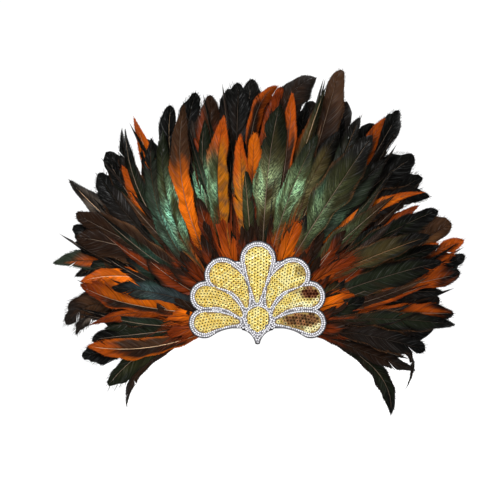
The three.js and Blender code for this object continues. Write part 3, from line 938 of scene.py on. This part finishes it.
def vane(plumes, feather, side):
    """The sheet on one side of a feather, in patches between its splits: side 1 is its left."""
    random = feather.random
    own = feather.look
    count = max(FEWEST_LINES, round(feather.run[-1] / LINE_PITCH))
    ends = feather.ends(np.linspace(0, 1, count))
    wander = wandering(random, count, len(LINE_SHARES))
    splits = min(random.poisson(own["splits"]), count // SPLIT_MARGIN)
    places = np.arange(SPLIT_MARGIN, count - SPLIT_MARGIN)
    inner = random.choice(places, splits, replace=False, p=places / places.sum())
    streak = STREAK_DEEP * random.normal(size=count)
    stain = wandering(random, count, 1)[:, 0]
    short = own["jag"] * np.abs(random.normal(size=count))
    edges = [0, *sorted(inner), count - 1]
    for first, last in zip(edges, edges[1:]):
        lines = np.arange(first, last + 1)
        place = np.linspace(-1, 1, len(lines))
        near = place**SPLIT_POWER
        open_low = (place < 0) * (first > 0)
        open_high = (place > 0) * (last < count - 1)
        gap = own["gap"] * random.uniform(*SPLIT_OPENS)
        pull = (open_low - 1.0 * open_high) * near * gap / feather.length
        u = LINE_SHARES * (1 - short[lines] - SPLIT_SHORT * ((open_low + open_high) * near))[:, None]
        t, w = feather.barb(side, ends[lines], u)
        t = t + pull[:, None] * u**2
        centre = feather.lay(t, w)
        lift = random.normal() * (PATCH_LIFT + PATCH_LIFT_PER_GAP * gap)
        centre[..., 2] += lift * u**2 + streak[lines][:, None] * u
        tint, glint = feather.paint(t, u, side, wander[lines], stain[lines][:, None], centre)
        mark = GRAIN_APART * feather.phase + GRAIN_SIDE * side
        across = (lines * LINE_PITCH)[:, None]
        grain = np.stack(np.broadcast_arrays(u * feather.width, across, mark), -1)
        plumes.sheet(centre, side < 0, tint, glint, grain, feather.chart(t, w))


def facing(feather, centre):
    """Unit directions across the strands, in the surface of the feather."""
    flat = left_of(np.gradient(centre, axis=1))
    flat /= np.maximum(np.linalg.norm(flat, axis=-1, keepdims=True), TINY)
    radius = np.hypot(centre[..., 0], centre[..., 1])
    slope = row_depth(feather.row, radius + 1) - row_depth(feather.row, radius)
    outward = (flat * centre[..., :2]).sum(-1) / np.maximum(radius, 1)
    return np.concatenate((flat, (slope * outward)[..., None]), -1)


def fringe(plumes, feather, side):
    """Loose ends of single barbs past the edge of the vane: three-cornered strands."""
    random = feather.random
    count = round(feather.run[-1] / FRINGE_PITCH)
    ends = feather.ends((np.arange(count) + random.random(count)) / count)
    half_end = np.maximum(feather.half(ends), FRINGE_NARROWEST)
    past = np.abs(random.normal(size=count)) * feather.look["fray"] / half_end
    u = np.stack((np.full(count, FRINGE_FROM), 1 + FRINGE_BENDS_AT * past, 1 + past), -1)
    t, w = feather.barb(side, ends, u)
    centre = feather.lay(t, w)
    centre[..., 2] += FRINGE_LIFT
    body = centre[:, :-1]
    offset = facing(feather, centre)[:, :-1] * (FRINGE_HALF * FRINGE_TAPER)[:, None]
    rings = np.stack((body + offset, body - offset, body - (0, 0, FRINGE_THICK)), 2)
    wander = FRINGE_WANDER * random.normal(size=(count, 1))
    stain = random.normal(size=(count, 1))
    tint, glint = feather.paint(t, np.minimum(u, 1), side, wander, stain, centre)
    mark = random.uniform(0, GRAIN_MARKS, count)
    along = u * feather.width
    plumes.strands(rings, centre[:, -1], tint, glint, along, (1, -1, 0), mark, feather.chart(t, w))


def shaft(plumes, feather):
    """The shaft along the front of a feather, paler on some feathers than on others."""
    t = np.linspace(0, SHAFT_TO, SHAFT_STATIONS)[None]
    w = feather.skew * feather.half(t)
    centre = feather.lay(t, w)
    centre[..., 2] += VANE_THICK / 2
    radius = (SHAFT_FINE + (SHAFT_THICK - SHAFT_FINE) * (1 - t) ** SHAFT_TAPER)[..., None, None]
    angle = angles_round(SHAFT_CORNERS)
    lanes = np.cos(angle)
    front = np.array((0, 0, 1))
    turn = facing(feather, centre)[:, :, None] * lanes[:, None] - front * np.sin(angle)[:, None]
    rings = (centre[:, :, None] + radius * turn)[:, :-1]
    pale = SHAFT_DARK + SHAFT_VARIES * feather.random.uniform() ** 2
    colour = np.broadcast_to(pale * INK[feather.look["shaft"]], t.shape + (3,))
    root = SHAFT_AT_ROOT * INK[feather.look["root"]]
    tint = mix(root, colour, smooth_step(*SHAFT_CLEARS, t))
    along = t * feather.length
    plumes.strands(rings, centre[:, -1], tint, 0 * t, along, lanes, np.zeros(1), feather.chart(t, w))


def tape(plumes, row, start, end):
    """The length of tape that carries a row's roots."""
    angle = np.linspace(start + TAPE_SEAM, end - TAPE_SEAM, TAPE_STEPS) * DEG
    back = GAP + row * ROW_PITCH
    front = back + TAPE_THICK
    corners = ((TAPE_INNER, back), (TAPE_INNER, front), (TAPE_OUTER, front), (TAPE_OUTER, back))
    rings = np.array([[(r * math.cos(a), r * math.sin(a), d) for r, d in corners] for a in angle])[None]
    tint = np.broadcast_to(INK["soot"], (1, TAPE_STEPS + 1, 3))
    plain = np.zeros((1, TAPE_STEPS + 1))
    chart = np.zeros((1, TAPE_STEPS + 1, 2))
    plumes.strands(rings, rings[:, -1].mean(1), tint, plain, plain, (0, 0, 1, 1), np.zeros(1), chart)


def fan_reach(angle):
    """How far the fan reaches in a direction, by the feathers that end near it."""
    lines = [line for name, lines in ROWS.items() if name != "feather_tufts" for line in lines]
    tips = np.array([line[1:3] for line in lines], float)
    angles = np.arctan2(tips[:, 1], tips[:, 0]) / DEG
    apart = np.abs((angles - angle + 180) % 360 - 180)
    near = np.hypot(*tips[apart < REACH_WITHIN].T)
    return np.sort(near)[-REACH_OF:].mean()


def extra_feathers(name, start, end):
    """Lines for a row's further feathers, each with its place in front of the row."""
    step, share, width, tip, lift, looks = EXTRAS[name]
    found = []
    for number, angle in enumerate(np.arange(EXTRA_FROM, EXTRA_TO, step)):
        open_edge = share > LONG_SHARE and OPEN_FROM < angle < OPEN_TO
        if start <= angle < end and not open_edge:
            reach = share * fan_reach(angle) * (1 + EXTRA_SWING * math.sin(SWING_STEP * number))
            lean = (angle + EXTRA_LEAN * math.sin(LEAN_STEP * number + width)) * DEG
            tip_place = (reach * math.cos(lean), reach * math.sin(lean))
            bow = -EXTRA_BOW * math.cos(angle * DEG)
            line = (angle, *tip_place, bow, EXTRA_BOWS_AT, width, tip, looks[number % len(looks)])
            found.append((line, lift))
    return found


def feather_piece(row, name, side, material):
    """One length of a feather row: its tape, its further feathers and those placed one by one."""
    start, end = TAPE_LENGTHS[side]
    lines = extra_feathers(name, start, end)
    lines += [(line, 0) for line in ROWS[name] if start <= line[0] < end]
    plumes = Plumes()
    tape(plumes, row, start, end)
    high = 1 / len(lines)
    for number, (line, lift) in enumerate(lines):
        band = (number * high, (number + 1) * high)
        feather = Feather(row, line, lift, band, [row, number, round(start * 2) + SEED_SHIFT])
        for half in SIDES:
            vane(plumes, feather, half)
            if not lift:
                fringe(plumes, feather, half)
        shaft(plumes, feather)
    node = f"{name}_{side}"
    made = plumes.to_object(f"{node}_plumes", material)
    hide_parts(node)
    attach(made, "root")


def pad_axis(row):
    """Middles, directions and half widths of a pad from its head to its tail."""
    head, bend, tail = (np.array(row[i : i + 2], float) for i in (0, 3, 5))
    t = np.linspace(0, 1, PAD_SAMPLES)
    middle, along = bent_line(head, bend, tail, t)
    return middle, along, row[2] + (row[7] - row[2]) * t**PAD_TAPER


def pad_distance(x, y, row, grow):
    """Signed distance to a pad's outline, moved outwards by grow: circles along its axis."""
    middles, _, halves = pad_axis(row)
    found = np.full(np.shape(x), np.inf)
    for (middle_x, middle_y), half in zip(middles, halves):
        found = np.minimum(found, np.hypot(x - middle_x, y - middle_y) - half)
    return found - grow


def applique_distance(x, y, grow):
    """Signed distance to the outline of the whole applique, moved outwards by grow."""
    wide = BORDER_WIDE + grow

    def hollowed(found, arch):
        across, down, radius = arch
        for middle in (-across, across):
            found = np.maximum(found, radius - grow - np.hypot(x - middle, y + down))
        return found

    petals = np.min([pad_distance(x, y, row, wide) for row in (*PADS.values(), *BORDER_WEBS)], 0)
    tip = pad_distance(x, y, BORDER_TIP, wide)
    return np.minimum(hollowed(petals, WIDE_ARCH), hollowed(tip, TIP_ARCH))


def pad_contour(row, grow, step):
    """Places along a pad's outline, moved outwards by grow, about one step apart."""
    middle, along, half = pad_axis(row)
    left = left_of(along)
    wide = (half + grow)[:, None]
    turn = np.linspace(0.5, 1.5, PAD_CAP_STEPS)[:, None] * math.pi
    head = middle[0] + wide[0] * (np.cos(turn) * along[0] + np.sin(turn) * left[0])
    tail = middle[-1] - wide[-1] * (np.cos(turn) * along[-1] + np.sin(turn) * left[-1])
    points = np.concatenate((head, middle - left * wide, tail, (middle + left * wide)[::-1], head[:1]))
    run = run_along(points)
    count = max(1, round(run[-1] / step))
    return at_runs(points, run, np.arange(count) / count * run[-1])


def far_from(places, others, distance):
    """Which places keep their distance from every other place."""
    if not len(others):
        return np.ones(len(places), bool)
    apart = np.hypot(*(places[:, None] - others[None]).transpose(2, 0, 1))
    return apart.min(1) >= distance


def bare_border(places):
    """Which places lie on the border, clear of the pads."""
    x, y = places.T
    inside = applique_distance(x, y, -BEAD_RADIUS) < BEAD_OVER
    off_pads = np.min([pad_distance(x, y, row, 0) for row in PADS.values()], 0) > BEAD_OFF_PADS
    return inside & off_pads


def bead_places():
    """Rows of beads along the pads' outlines, then single beads where the border is still bare."""
    placed = np.zeros((0, 2))
    for grow in BEAD_ROWS:
        for row in (*PADS.values(), BORDER_TIP):
            places = pad_contour(row, grow, BEAD_STEP)
            places = places[bare_border(places)]
            places = places[far_from(places, placed, BEAD_CLEAR * BEAD_STEP)]
            placed = np.concatenate((placed, places))
    grid = np.stack(np.meshgrid(FILL_ACROSS, FILL_UP), -1).reshape(-1, 2)
    for place in grid[bare_border(grid)]:
        if far_from(place[None], placed, BEAD_FILL_CLEAR * BEAD_STEP)[0]:
            placed = np.concatenate((placed, place[None]))
    return placed


def stamped(name, points, faces, smooth, turns, places, material, tints, shades):
    """Copies of a small mesh, turned and placed in the fan's millimetres, joined in one object."""
    many = len(places)
    all_points = np.einsum("mij,pj->mpi", turns, points) + places[:, None]
    shift = (np.arange(many) * len(points))[:, None, None]
    groups = [(shift + group).reshape(-1, group.shape[1]) for group in faces]
    made = mesh_object(name, to_world(all_points.reshape(-1, 3)), groups, smooth, material)
    point_tints(made.data, (tints[:, None] * shades[None, :, None]).reshape(-1, 3))
    return made


def rings_of(section, sides):
    """Points of a section of radii and heights turned round its axis, ring after ring."""
    return [(r * math.cos(a), r * math.sin(a), z) for r, z in section for a in angles_round(sides)]


def sequin_mesh():
    """A thin cupped disc with a hole, a ring section turned round, and the dark knot that holds it."""
    low = -SEQUIN_THICK
    middle = SEQUIN_FLAT * SEQUIN_RADIUS
    section = (
        (SEQUIN_HOLE, 0),
        (SEQUIN_HOLE, low),
        (middle, low),
        (SEQUIN_RADIUS, low + SEQUIN_CUP),
        (SEQUIN_RADIUS, SEQUIN_CUP),
        (middle, 0),
    )
    points = rings_of(section, SEQUIN_SIDES)
    foil = len(points)
    points += rings_of([(KNOT_RADIUS, 0)], KNOT_SIDES)
    points += [(0, 0, KNOT_RISE), (0, 0, low)]
    disc = ring_faces(len(section), SEQUIN_SIDES, True)[:, ::-1]
    top = cap_faces(foil, KNOT_SIDES, foil + KNOT_SIDES)
    bottom = cap_faces(foil, KNOT_SIDES, foil + KNOT_SIDES + 1)[:, ::-1]
    shades = np.where(np.arange(len(points)) < foil, 1, KNOT_SHADE)
    return np.array(points), [disc, top, bottom], shades


def bead_mesh():
    """A small round bead."""
    rise = np.linspace(-1, 1, BEAD_RINGS + 2)[1:-1] * math.pi / 2
    points = rings_of([(math.cos(r), math.sin(r)) for r in rise], BEAD_SIDES)
    pole = len(points)
    points += [(0, 0, -1), (0, 0, 1)]
    quads = ring_faces(BEAD_RINGS, BEAD_SIDES, False)
    bottom = cap_faces(0, BEAD_SIDES, pole)[:, ::-1]
    top = cap_faces(pole - BEAD_SIDES, BEAD_SIDES, pole + 1)
    return np.array(points) * BEAD_RADIUS, [quads, bottom, top]


def turned(normal, direction):
    """Matrices of columns: across, the direction laid square to the normal, and the normal."""
    normal = unit(normal)
    along = unit(direction - normal * (direction * normal).sum(1, keepdims=True))
    return np.stack((np.cross(along, normal), along, normal), -1)


def beads(material):
    random = np.random.default_rng(BEAD_SEED)
    places = bead_places()
    many = len(places)
    rim = FACE_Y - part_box("bead_border")[0].y / MM
    seats = np.c_[places, rim + random.uniform(*BEAD_RISE, many)]
    normal = random.normal(size=(many, 3))
    turns = turned(normal, random.normal(size=(many, 3)))
    points, faces = bead_mesh()
    light = np.clip(1 + BEAD_VARIES * random.normal(size=many), BEAD_DARKEST, 1)
    tints = np.outer(light, BEAD_TINT)
    smooth = [True] * len(faces)
    shades = np.ones(len(points))
    made = stamped("bead_border_beads", points, faces, smooth, turns, seats, material, tints, shades)
    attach(made, "root")


def patches(places, rows):
    """How strongly each place lies in one of the soft round patches of a table: of painted shade or
    painted highlight.
    """
    found = np.zeros(len(places))
    for x, y, wide, high, strength in rows:
        reach = np.hypot((places[:, 0] - x) / wide, (places[:, 1] - y) / high)
        found = np.maximum(found, strength * smooth_step(PATCH_FROM, PATCH_FULL, reach))
    return found


def sequin_tints(places, random):
    """Pale gold, with painted shade in brown where some petals turn out of the light, and a painted
    highlight where a row catches it.
    """
    many = len(places)
    colour = mix(SEQUIN_GOLD, SEQUIN_PALE, np.clip(random.uniform(*PALE_RANGE, many), 0, 1))
    # Brown of the painted shade, where sequins turn out of the light
    brown = mix(SEQUIN_SHADE_BROWN, SEQUIN_SHADE_COPPER, random.uniform(0, 1, many) ** SHADE_COPPER_POWER)
    # painted shade, darker and warmer on the left petals
    colour = mix(colour, colour * SEQUIN_LEFT_SHADE, smooth_step(LEFT_SHADE_FROM, LEFT_SHADE_TO, places[:, 0]))
    # Painted highlight and painted shade, in patches
    light = patches(places, SEQUIN_LIGHTS)
    shadow = patches(places, SEQUIN_SHADOWS) * (1 - light)
    return mix(mix(colour, brown, shadow), SEQUIN_BRIGHT, light)


def sequin_rows(row):
    """Places for sequins in staggered rows along a pad's bent axis, and the row's direction at each."""
    axis, along, _ = pad_axis(row)
    spare = SEQUIN_SPARE * row[2]
    axis = np.concatenate((axis[:1] - spare * along[:1], axis, axis[-1:] + spare * along[-1:]))
    along = np.concatenate((along[:1], along, along[-1:]))
    lanes = math.ceil(row[2] / SEQUIN_ROW)
    places = []
    ahead = []
    for lane in range(-lanes, lanes + 1):
        line = axis + left_of(along) * lane * SEQUIN_ROW
        run = run_along(line)
        at = np.arange(SEQUIN_STEP * SEQUIN_STARTS[lane % 2], run[-1], SEQUIN_STEP)
        places.append(at_runs(line, run, at))
        ahead.append(at_runs(along, run, at))
    places = np.concatenate(places)
    ahead = np.concatenate(ahead)
    inside = pad_distance(*places.T, row, -SEQUIN_INSET) < 0
    return places[inside], ahead[inside]


def sequins(name, row, material):
    seed = len(name) + round(abs(row[0])) + (LEFT_SEED if row[0] < 0 else 0)
    random = np.random.default_rng(seed)
    places, ahead = sequin_rows(row)
    many = len(places)
    lean = math.tan(SEQUIN_LEAN * DEG)
    tilt = -lean * ahead + SEQUIN_TILT * random.normal(size=(many, 2))
    tints = sequin_tints(places, random)
    turns = turned(np.c_[tilt, np.ones(many)], np.c_[ahead, np.zeros(many)])
    top = FACE_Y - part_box(name)[0].y / MM
    seats = np.c_[places, top + SEQUIN_SEAT + random.uniform(0, SEQUIN_RISE, many)]
    points, faces, shades = sequin_mesh()
    smooth = [False, True, True]
    made = stamped(f"{name}_sequins", points, faces, smooth, turns, seats, material, tints, shades)
    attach(made, "root")


def felt(material):
    """The felt that carries the beads and sequins, cut along their outline, with soft edges."""
    angle = angles_round(FELT_STEPS)
    x = np.outer(np.cos(angle), FELT_REACH)
    y = FELT_MIDDLE + np.outer(np.sin(angle), FELT_REACH)
    inside = applique_distance(x, y, FELT_EDGE) <= 0
    rim = FELT_REACH[inside.shape[1] - 1 - np.argmax(inside[:, ::-1], 1)]
    rings = []
    for share, kept, level in FELT_SECTION:
        reach = share * rim - kept
        height = np.full(FELT_STEPS, FELT_BACK + FELT_CLEAR + (FELT_THICK - 2 * FELT_CLEAR) * level)
        rings.append(np.stack((reach * np.cos(angle), FELT_MIDDLE + reach * np.sin(angle), height), -1))
    points = to_world(np.concatenate(rings))
    quads = ring_faces(len(rings), FELT_STEPS, True)
    made = mesh_object("felt_backing_sheet", points, [quads[:, ::-1]], [False], material)
    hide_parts("felt_backing")
    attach(made, "root")


def band_line(grow):
    """Points round the band's plan, evenly spaced, moved outwards by grow."""
    half = BAND_WIDTH / 2 + grow
    front = -BAND_LENGTH / 2 - grow
    corner = BAND_CORNER + grow
    back_middle = BAND_LENGTH / 2 + grow - half
    arcs = (
        (half - corner, front + corner, corner, -90, 0),
        (0, back_middle, half, 0, 180),
        (corner - half, front + corner, corner, 180, 270),
    )
    points = []
    for x, y, radius, start, end in arcs:
        angle = np.linspace(start, end, BAND_ARC_STEPS) * DEG
        points.append(np.stack((x + radius * np.cos(angle), y + radius * np.sin(angle)), -1))
    points = np.concatenate((*points, points[0][:1]))
    run = run_along(points)
    return at_runs(points, run, np.arange(BAND_STEPS) / BAND_STEPS * run[-1])


def band(material):
    """The woven band, with ribs along its length on both faces."""
    inner = band_line(0)
    outer = band_line(BAND_THICK)
    level = np.linspace(0, 1, BAND_RIBS * RIB_POINTS + 1)
    groove = RIB_DEEP * np.abs(np.cos(level * BAND_RIBS * math.pi)) ** RIB_SHARP
    groove[[0, -1]] = BAND_ROUND
    deep = groove / BAND_THICK
    rings = []
    for share, out in (*zip(level, 1 - deep), *zip(level[::-1], deep[::-1])):
        line = inner + (outer - inner) * out
        rings.append(np.c_[line, np.full(BAND_STEPS, share * BAND_HIGH)])
    points = np.concatenate(rings) * MM
    quads = ring_faces(len(rings), BAND_STEPS, True)
    made = mesh_object("headband_weave", points, [quads], [True], material)
    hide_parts("headband")
    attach(made, "root")


class Look:
    """A node material with one Principled shader, and short ways to add nodes to it."""

    def __init__(self, name, **values):
        self.material = bpy.data.materials.new(name)
        self.material.use_nodes = True
        self.nodes = self.material.node_tree.nodes
        self.links = self.material.node_tree.links
        self.shader = self.nodes["Principled BSDF"]
        self.dress(**values)

    def dress(self, **values):
        """Sets inputs of the shader, to a value or to what another node gives."""
        for name, value in values.items():
            self.feed(value, self.shader.inputs[name.replace("_", " ")])

    def node(self, kind, settings=(), **inputs):
        made = self.nodes.new("ShaderNode" + kind)
        for key, value in dict(settings).items():
            setattr(made, key, value)
        for name, value in inputs.items():
            self.feed(value, made.inputs[name.replace("_", " ")])
        return made

    def feed(self, value, socket):
        if isinstance(value, bpy.types.NodeSocket):
            self.links.new(value, socket)
        else:
            socket.default_value = value

    def attribute(self, name):
        return self.node("Attribute", {"attribute_name": name}).outputs

    def noise(self, place, stretch, detail):
        """Noise along the grain, stretched by so much along each axis."""
        spread = self.node("VectorMath", {"operation": "MULTIPLY"}, Vector=place)
        spread.inputs[1].default_value = stretch
        place = spread.outputs["Vector"]
        made = self.node("TexNoise", Vector=place, Scale=1.0, Detail=detail, Distortion=0.6)
        return made.outputs["Fac"]

    def cloud(self, scale, detail, **more):
        """Noise in the object's own space."""
        place = self.node("TexCoord").outputs["Object"]
        return self.node("TexNoise", Vector=place, Scale=scale, Detail=detail, **more).outputs["Fac"]

    def maths(self, operation, *terms):
        made = self.node("Math", {"operation": operation})
        for socket, term in zip(made.inputs, terms):
            self.feed(term, socket)
        return made.outputs["Value"]

    def ramp(self, value, low, high, start=0.0, end=1.0):
        """A value that goes from start to end, brought to go from low to high."""
        made = self.node("MapRange", Value=value, From_Min=start, From_Max=end, To_Min=low, To_Max=high)
        return made.outputs["Result"]

    def times(self, colour, factor):
        made = self.node("VectorMath", {"operation": "SCALE"}, Vector=colour, Scale=factor)
        return made.outputs["Vector"]

    def bump(self, height, distance):
        return self.node("Bump", Height=height, Distance=distance).outputs["Normal"]


def feather_look(name, rough):
    """Satin barbs: the tint broken up by streaks along them, crackled green metal where it glints, with a
    painted highlight that brightens the tint there.
    """
    # The plain level counts where the varied one can't be carried over
    made = Look(name, IOR=1.5, Specular_IOR_Level=0.12)
    grain = made.attribute("grain")["Vector"]
    streak = made.noise(grain, stretch=(0.05, 0.55, 1), detail=4.0)
    crackle = made.noise(grain, stretch=(0.25, 0.8, 1), detail=5.0)
    gleam = made.noise(grain, stretch=(0.04, 0.9, 1), detail=2.0)
    crackled = made.ramp(crackle, low=0.0, high=1.0, start=0.46, end=0.6)
    # Painted highlight: where the glint is, the tint is brightened up to nine times and turns metal
    spark = made.maths("MULTIPLY", made.attribute("glint")["Fac"], crackled)
    bright = made.maths("MULTIPLY_ADD", spark, 8.0, 1.0)
    shade = made.maths("MULTIPLY", made.ramp(streak, low=0.5, high=1.5, start=0.3, end=0.7), bright)
    made.dress(
        Base_Color=made.times(made.attribute("tint")["Color"], shade),
        Metallic=made.ramp(spark, low=0.0, high=0.8),
        Roughness=made.ramp(crackle, low=rough - 0.12, high=rough + 0.15),
        Specular_IOR_Level=made.ramp(gleam, low=0.02, high=0.45, start=0.56, end=0.74),
        Normal=made.bump(streak, distance=0.0005),
    )
    return made.material


def bead_look():
    """Pale glass seed beads."""
    made = Look("bead_glass", Roughness=0.2, IOR=1.52, Coat_Weight=0.3)
    factor = made.ramp(made.cloud(scale=900.0, detail=2.0), low=0.7, high=1.15)
    made.dress(Base_Color=made.times(made.attribute("tint")["Color"], factor))
    return made.material


def sequin_look():
    """Gold foil under clear plastic, faintly pressed, and duller where its tint is dark: in the painted
    shade and on the knots.
    """
    # The plain coat counts where the varied one can't be carried over
    made = Look("sequin_foil", Metallic=0.35, IOR=1.5, Coat_Weight=0.3)
    tint = made.attribute("tint")
    cloud = made.cloud(scale=700.0, detail=3.0)
    made.dress(
        Base_Color=made.times(tint["Color"], made.ramp(cloud, low=0.9, high=1.1)),
        Roughness=made.ramp(cloud, low=0.16, high=0.4),
        Specular_IOR_Level=made.ramp(tint["Fac"], low=0.0, high=0.5, start=0.05, end=0.5),
        Coat_Weight=made.ramp(tint["Fac"], low=0.0, high=0.2, start=0.05, end=0.5),
    )
    return made.material


def cloth_look(name):
    """Matted or woven fibres."""
    dark, light, scale, rough = CLOTHS[name]
    made = Look(name, Roughness=rough, Sheen_Weight=0.25)
    fibre = made.cloud(scale, detail=6.0, Roughness=0.7)
    blend = made.node("ValToRGB", Fac=fibre)
    for stop, place, colour in zip(blend.color_ramp.elements, (0.35, 0.75), (dark, light)):
        stop.position = place
        stop.color = (*colour, 1)
    made.dress(Base_Color=blend.outputs["Color"], Normal=made.bump(fibre, distance=0.0004))
    return made.material


def camera():
    """A long lens that looks straight at the front, with the photograph's frame at the fan."""
    data = bpy.data.cameras.new("camera")
    data.lens = LENS_MM
    data.sensor_width = SENSOR_MM
    made = bpy.data.objects.new("camera", data)
    view = PHOTO_PX * MM_PER_PX
    middle_x = (PHOTO_PX / 2 - ORIGIN_PX_X) * MM_PER_PX
    middle_z = (ORIGIN_PX_Y - PHOTO_PX / 2) * MM_PER_PX
    made.location = (middle_x * MM, (FOCUS_Y - view * LENS_MM / SENSOR_MM) * MM, middle_z * MM)
    made.rotation_euler = (90 * DEG, 0, 0)
    bpy.context.scene.collection.objects.link(made)
    bpy.context.scene.camera = made


def softbox(name, place, size, watts):
    data = bpy.data.lights.new(name, "AREA")
    data.shape = "RECTANGLE"
    data.size, data.size_y = size
    data.energy = watts
    made = bpy.data.objects.new(name, data)
    made.location = place
    away = made.location - type(made.location)(LIGHTS_AIM)
    made.rotation_euler = away.to_track_quat("Z", "Y").to_euler()
    bpy.context.scene.collection.objects.link(made)


def lay_floor():
    """A pale floor well below, which glows white far out."""
    paint = Look("floor_paint", Roughness=0.8, Emission_Color=WHITE)
    place = paint.node("TexCoord").outputs["Object"]
    far = paint.node("VectorMath", {"operation": "LENGTH"}, Vector=place).outputs["Value"]
    mottle = paint.ramp(paint.cloud(scale=3.0, detail=2.0), low=0.97, high=1.03)
    paint.dress(
        Base_Color=paint.times(FLOOR_GREY, mottle),
        Emission_Strength=paint.ramp(far, low=0.0, high=0.7, start=0.9, end=2.4),
    )
    signs = ((-1, -1), (1, -1), (1, 1), (-1, 1))
    corners = [(x * FLOOR_HALF, y * FLOOR_HALF, FLOOR_Z) for x, y in signs]
    floor = mesh_object("floor", corners, [np.array([[0, 1, 2, 3]])], [False], paint.material)


def studio():
    """The floor, a pale surround that is dimmer in front, and soft lights."""
    lay_floor()
    world = bpy.data.worlds.new("studio")
    world.use_nodes = True
    nodes = world.node_tree.nodes
    links = world.node_tree.links
    place = nodes.new("ShaderNodeTexCoord")
    parts = nodes.new("ShaderNodeSeparateXYZ")
    level = nodes.new("ShaderNodeMapRange")
    for name, value in SURROUND.items():
        level.inputs[name].default_value = value
    links.new(place.outputs["Generated"], parts.inputs["Vector"])
    links.new(parts.outputs["Y"], level.inputs["Value"])
    links.new(level.outputs["Result"], nodes["Background"].inputs["Strength"])
    nodes["Background"].inputs["Color"].default_value = WHITE
    bpy.context.scene.world = world
    bpy.context.scene.view_settings.view_transform = "Standard"
    for name, light in LIGHTS.items():
        softbox(name, *light)


def cover(node, material):
    """Gives a solid of the frame a material."""
    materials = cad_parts[node].data.materials
    materials.clear()
    materials.append(material)


camera()
studio()
feather_looks = {name: feather_look(name, rough) for name, rough in FEATHER_ROUGH.items()}
for row_number, row_name in enumerate(ROWS):
    for tape_side in TAPE_LENGTHS:
        feather_piece(row_number, row_name, tape_side, feather_looks[SLOTS[row_name]])
beads(bead_look())
cover("bead_border", cloth_look("rim_thread"))
sequin_foil = sequin_look()
pad_cloth = cloth_look("pad_cloth")
for pad_name, pad_row in PADS.items():
    cover(pad_name, pad_cloth)
    sequins(pad_name, pad_row, sequin_foil)
felt(cloth_look("felt"))
band(cloth_look("band_weave"))
